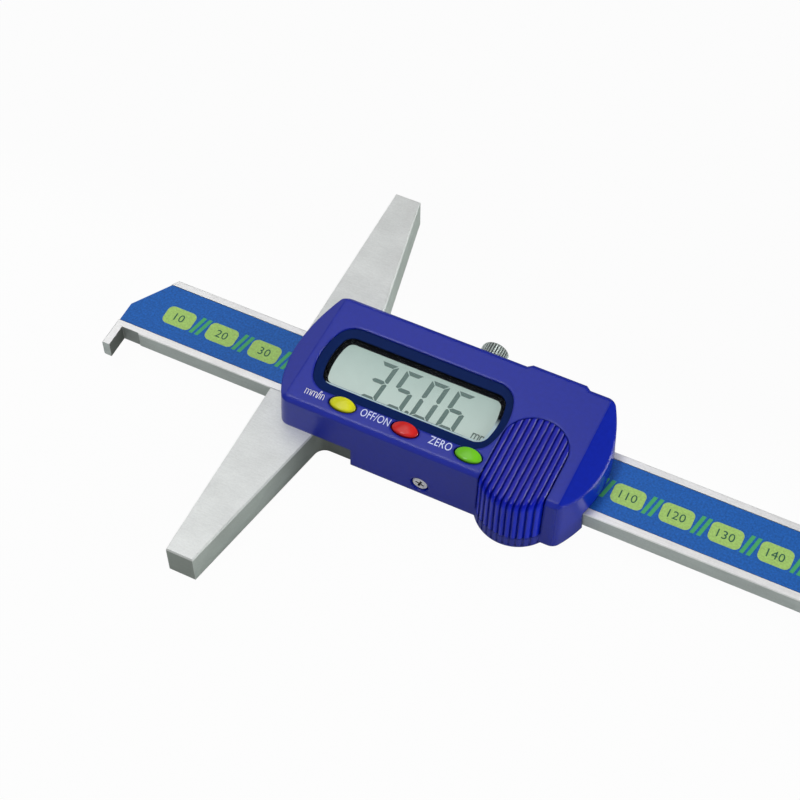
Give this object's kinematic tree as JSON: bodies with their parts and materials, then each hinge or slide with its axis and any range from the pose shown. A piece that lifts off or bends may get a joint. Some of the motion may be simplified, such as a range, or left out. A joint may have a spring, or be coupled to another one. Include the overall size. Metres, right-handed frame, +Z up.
{
  "type": "digital depth gauge",
  "caption": "Flat steel depth gauge: hooked sliding beam in a tapered measuring base, with a bevelled plastic display housing, oval buttons, ribbed battery cover and knurled clamp screw.",
  "frame": {"origin": "on the measuring face of the base, on the beam's centre line, level with the flat underside that the gauge lies on", "axes": "+X along the beam from the measuring face towards the tail, +Y along the base towards the clamp screw side, +Z up out of the display"},
  "size_m": [0.228, 0.1, 0.0163],
  "materials": {
    "ground_steel": "fine ground, satin",
    "screw_steel": "plated",
    "brass": "machined",
    "cell_steel": "nickel plated",
    "blue_plastic": "satin moulded",
    "navy_plastic": "smooth",
    "black_plastic": "moulded",
    "display_glass": "grey-green polarised",
    "clear_window": "clear",
    "grey_rubber": "soft",
    "circuit_green": "solder mask",
    "label_blue": "printed film",
    "button_yellow": "smooth",
    "button_red": "smooth",
    "button_green": "smooth"
  },
  "bodies": {
    "slider": {"base_frame": "ground_steel", "gib_strip": "brass", "gib_screws": "screw_steel", "guide_plate": "ground_steel", "circuit_board": "circuit_green", "controller_chip": "black_plastic", "display_bezel": "navy_plastic", "lcd_holder": "black_plastic", "lcd_panel": "display_glass", "contact_strips": "grey_rubber", "display_lens": "clear_window", "button_mat": "grey_rubber", "housing": "blue_plastic", "battery_cell": "cell_steel", "battery_contact_low": "cell_steel", "battery_contact_side": "cell_steel", "data_socket": "black_plastic", "side_screw": "screw_steel", "housing_screws": "screw_steel"},
    "beam": {"beam": "ground_steel", "scale_board": "circuit_green", "scale_label": "label_blue", "end_stop": "ground_steel", "end_stop_screws": "screw_steel"},
    "clamp_screw": {"lock_screw": "screw_steel"},
    "unit_button": {"unit_button": "button_yellow"},
    "power_button": {"power_button": "button_red"},
    "zero_button": {"zero_button": "button_green"},
    "battery_cover": {"battery_cover": "blue_plastic"},
    "port_cover": {"port_cover": "blue_plastic"}
  },
  "joints": [
    {"name": "beam_slide", "type": "slide", "parent": "slider", "child": "beam", "axis": [-1, 0, 0], "range_m": [-0.03505, 0.11494]},
    {"name": "clamp_screw_turn", "type": "hinge", "parent": "slider", "child": "clamp_screw", "pos_m": [0.0366, 0.0188, 0.0051], "axis": [0, 1, 0], "range_deg": [0, 360]},
    {"name": "unit_button_press", "type": "slide", "parent": "slider", "child": "unit_button", "axis": [0, 0, -1], "range_m": [0, 0.0004], "stiffness_N_per_m": 1500},
    {"name": "power_button_press", "type": "slide", "parent": "slider", "child": "power_button", "axis": [0, 0, -1], "range_m": [0, 0.0004], "stiffness_N_per_m": 1500},
    {"name": "zero_button_press", "type": "slide", "parent": "slider", "child": "zero_button", "axis": [0, 0, -1], "range_m": [0, 0.0004], "stiffness_N_per_m": 1500},
    {"name": "battery_cover_slide", "type": "slide", "parent": "slider", "child": "battery_cover", "axis": [0, -1, 0], "range_m": [0, 0.018]},
    {"name": "port_cover_pull", "type": "slide", "parent": "slider", "child": "port_cover", "axis": [0, 1, 0], "range_m": [0, 0.004]}
  ]
}
